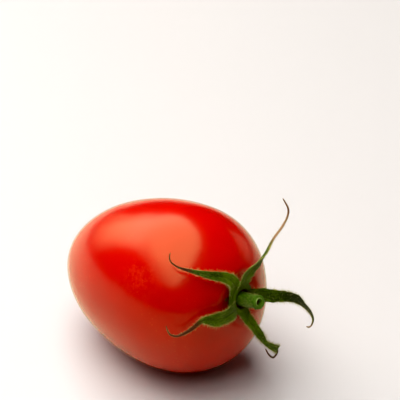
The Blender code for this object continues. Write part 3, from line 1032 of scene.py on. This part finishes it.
def hair_material(calyx):
    made, graph, shader = new_material("pale_hairs")
    base = graph.mix(graph.noise(900.0, 2.0), dimmed(calyx.hair, 0.6), calyx.hair)
    graph.fill(shader, {"Base Color": base, "Roughness": 0.55})
    return made


def floor_material(stage):
    made, graph, shader = new_material("pale_floor")
    relief = graph.group(fine_relief_group(), Soft_Scale=40.0, Fine_Scale=900.0, Fine_Share=0.3)
    graph.fill(shader, {
        "Base Color": graph.mix(graph.noise(12.0, 3.0), stage.floor, dimmed(stage.floor, 0.985)),
        "Roughness": 0.42,
        "Specular IOR Level": 0.5,
        "Normal": graph.bump(relief["Height"], 0.05, 0.2 * MM),
    })
    return made


def window_material(stage):
    """A soft light, dimmer in its front corner, and dimmer and warmer in the low part on the left."""
    made, graph, shader = new_material("soft_window")
    made.node_tree.nodes.remove(shader)
    split = graph.node("ShaderNodeSeparateXYZ")
    graph.feed(split.inputs[0], graph.place())
    x, y, z = split.outputs
    front = graph.ramp(y, -0.35, -1.05, 1.0, stage.window_front)
    left = graph.ramp(x, -1.0, -2.85, 1.0, WINDOW_LEFT, False)
    fold = graph.ramp(z, WINDOW_HEIGHT, WINDOW_HEIGHT - 0.5, 1.0, stage.window_low / WINDOW_LEFT, False)
    fold = graph.times(fold, graph.ramp(z, 0.6, 0.1, 1.0, 0.3))
    # It also fades towards its long sides, left of the middle, and towards its front left edge
    off_middle = graph.math("ABSOLUTE", graph.minus(y, 0.05))
    beside = graph.times(graph.ramp(off_middle, 0.25, 0.85, 0.0, 0.5), graph.ramp(x, -0.6, -1.2))
    across = graph.plus(graph.times(x, 0.62), graph.times(y, 0.79))
    corner = graph.times(graph.ramp(across, -0.5, -1.0, 0.0, 0.6), graph.ramp(x, -1.2, -0.6))
    strength = graph.times(graph.times(front, fold), left)
    strength = graph.times(strength, graph.minus(graph.minus(1.0, beside), corner))
    low = graph.ramp(z, WINDOW_HEIGHT, WINDOW_HEIGHT - 0.3)
    warm = graph.larger(low, graph.ramp(x, -1.3, -2.6, 0.0, 0.8))
    light = graph.node("ShaderNodeEmission")
    graph.fill(light, {
        "Color": graph.mix(warm, (1.0, 1.0, 1.0), stage.window_warm),
        "Strength": graph.times(strength, stage.window),
    })
    graph.feed(made.node_tree.nodes["Material Output"].inputs["Surface"], light.outputs["Emission"])
    return made


# Operators

class TOMATO_OT_fruit(bpy.types.Operator):
    """Build the fruit's fine skin in place of the CAD fruit"""

    bl_idname = "tomato.fruit"
    bl_label = "Fruit"

    def execute(self, context):
        fruit = context.scene.tomato_fruit
        mesh = fruit_mesh(fruit)
        mesh.transform(resting_place(fruit))
        for vertex in mesh.vertices:
            vertex.co.z = max(vertex.co.z, 0.0)
        item = add_object("fruit_skin", mesh)
        mesh.materials.append(skin_material(fruit))
        finish_piece(item, "fruit")
        return {"FINISHED"}


class TOMATO_OT_calyx(bpy.types.Operator):
    """Build the calyx with fine, cupped sepals in place of the CAD calyx"""

    bl_idname = "tomato.calyx"
    bl_label = "Calyx"

    def execute(self, context):
        fruit = context.scene.tomato_fruit
        calyx = context.scene.tomato_calyx
        mesh = grown_together(fruit, calyx)
        mark_sepals(fruit, calyx, mesh)
        mesh.transform(resting_place(fruit))
        item = add_object("calyx_leaf", mesh)
        mesh.materials.clear()
        mesh.materials.append(leaf_material(calyx))
        finish_piece(item, "calyx")
        return {"FINISHED"}


class TOMATO_OT_hairs(bpy.types.Operator):
    """Grow fine hairs on the calyx and the stem"""

    bl_idname = "tomato.hairs"
    bl_label = "Hairs"

    def execute(self, context):
        scene = context.scene
        mesh = hairs_mesh(scene.tomato_fruit, scene.tomato_calyx, scene.tomato_stem)
        mesh.transform(resting_place(scene.tomato_fruit))
        item = add_object("calyx_hairs", mesh)
        mesh.materials.append(hair_material(scene.tomato_calyx))
        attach(item, "root")
        return {"FINISHED"}


class TOMATO_OT_stem(bpy.types.Operator):
    """Build the ribbed stem stub, with its cut end and hollow pith, in place of the CAD stem"""

    bl_idname = "tomato.stem"
    bl_label = "Stem"

    def execute(self, context):
        scene = context.scene
        mesh = stem_mesh(scene.tomato_fruit, scene.tomato_calyx, scene.tomato_stem)
        mesh.transform(resting_place(scene.tomato_fruit))
        face_outwards(mesh)
        item = add_object("stem_stub", mesh)
        mesh.materials.append(stem_material(scene.tomato_stem, scene.tomato_calyx))
        finish_piece(item, "stem")
        return {"FINISHED"}


def add_light(name, power, size, place, target):
    light = bpy.data.lights.new(name, "AREA")
    light.shape = "RECTANGLE"
    light.size, light.size_y = size
    light.energy = power
    item = add_object(name, light)
    item.location = place
    item.rotation_euler = (Vector(target) - Vector(place)).to_track_quat("-Z", "Y").to_euler()
    return item


class TOMATO_OT_stage(bpy.types.Operator):
    """Lay the pale floor, hang the soft lights and place the camera"""

    bl_idname = "tomato.stage"
    bl_label = "Stage"

    def execute(self, context):
        stage = context.scene.tomato_stage
        corners = [(x * FLOOR_HALF, y * FLOOR_HALF, 0) for x, y in ((-1, -1), (1, -1), (1, 1), (-1, 1))]
        floor = add_object("floor", mesh_of("floor", corners, [(0, 1, 2, 3)]))
        floor.data.materials.append(floor_material(stage))

        rim = [(x, y, WINDOW_HEIGHT) for x, y in WINDOW_OUTLINE]
        count = len(rim)
        window = add_object("window_light", mesh_of(
            "window_light",
            rim + list(WINDOW_FOLD),
            [tuple(range(count)), (0, count - 1, count, count + 1)],
        ))
        window.data.materials.append(window_material(stage))
        window.visible_camera = False
        add_light("back_light", stage.back, BACK_SIZE, BACK_PLACE, BACK_TARGET)

        world = bpy.data.worlds.new("room")
        world.use_nodes = True
        context.scene.world = world
        graph = Graph(world.node_tree)
        seen = world.node_tree.nodes["Background"]
        unseen = graph.node("ShaderNodeBackground")
        graph.fill(seen, {"Color": (*stage.backdrop, 1.0), "Strength": 1.0})
        graph.fill(unseen, {"Color": (1.0, 0.98, 0.96, 1.0), "Strength": stage.room})
        blend = graph.node("ShaderNodeMixShader")
        graph.feed(blend.inputs["Fac"], graph.node("ShaderNodeLightPath").outputs["Is Camera Ray"])
        graph.feed(blend.inputs[1], unseen.outputs["Background"])
        graph.feed(blend.inputs[2], seen.outputs["Background"])
        graph.feed(world.node_tree.nodes["World Output"].inputs["Surface"], blend.outputs["Shader"])

        view = context.scene.view_settings
        view.view_transform = "Standard"
        view.look = "Medium High Contrast"
        view.exposure = 0.0
        view.use_curve_mapping = True
        view.curve_mapping.black_level = stage.black
        view.curve_mapping.update()

        lens = bpy.data.cameras.new("camera")
        lens.sensor_width = 36.0
        lens.lens = CAMERA_LENS
        lens.clip_start = 0.01
        camera = add_object("camera", lens)
        azimuth, elevation = stage.camera_azimuth, stage.camera_elevation
        back = Vector((
            math.sin(azimuth) * math.cos(elevation),
            -math.cos(azimuth) * math.cos(elevation),
            math.sin(elevation),
        ))
        camera.location = CAMERA_AIM + back * stage.camera_distance
        camera.rotation_euler = (-back).to_track_quat("-Z", "Y").to_euler()
        context.scene.camera = camera
        return {"FINISHED"}


class TOMATO_PT_panel(bpy.types.Panel):
    """Buttons and settings for the tomato"""

    bl_idname = "TOMATO_PT_panel"
    bl_label = "Plum tomato"
    bl_space_type = "VIEW_3D"
    bl_region_type = "UI"
    bl_category = "Tomato"

    def draw(self, context):
        for piece in OPERATORS:
            self.layout.operator(piece.bl_idname)
        for name, group in SETTINGS.items():
            box = self.layout.box()
            box.label(text=group.__doc__)
            for setting in group.__annotations__:
                box.prop(getattr(context.scene, name), setting)


SETTINGS = {
    "tomato_fruit": FruitSettings,
    "tomato_calyx": CalyxSettings,
    "tomato_stem": StemSettings,
    "tomato_stage": StageSettings,
}
OPERATORS = (TOMATO_OT_fruit, TOMATO_OT_calyx, TOMATO_OT_hairs, TOMATO_OT_stem, TOMATO_OT_stage)


def register():
    for kind in (*SETTINGS.values(), *OPERATORS, TOMATO_PT_panel):
        bpy.utils.register_class(kind)
    for name, group in SETTINGS.items():
        setattr(bpy.types.Scene, name, PointerProperty(type=group))


def unregister():
    for name in SETTINGS:
        delattr(bpy.types.Scene, name)
    for kind in reversed((*SETTINGS.values(), *OPERATORS, TOMATO_PT_panel)):
        bpy.utils.unregister_class(kind)


def main():
    register()
    bpy.ops.tomato.fruit()
    bpy.ops.tomato.calyx()
    bpy.ops.tomato.stem()
    bpy.ops.tomato.hairs()
    bpy.ops.tomato.stage()


if __name__ == "__main__":
    main()
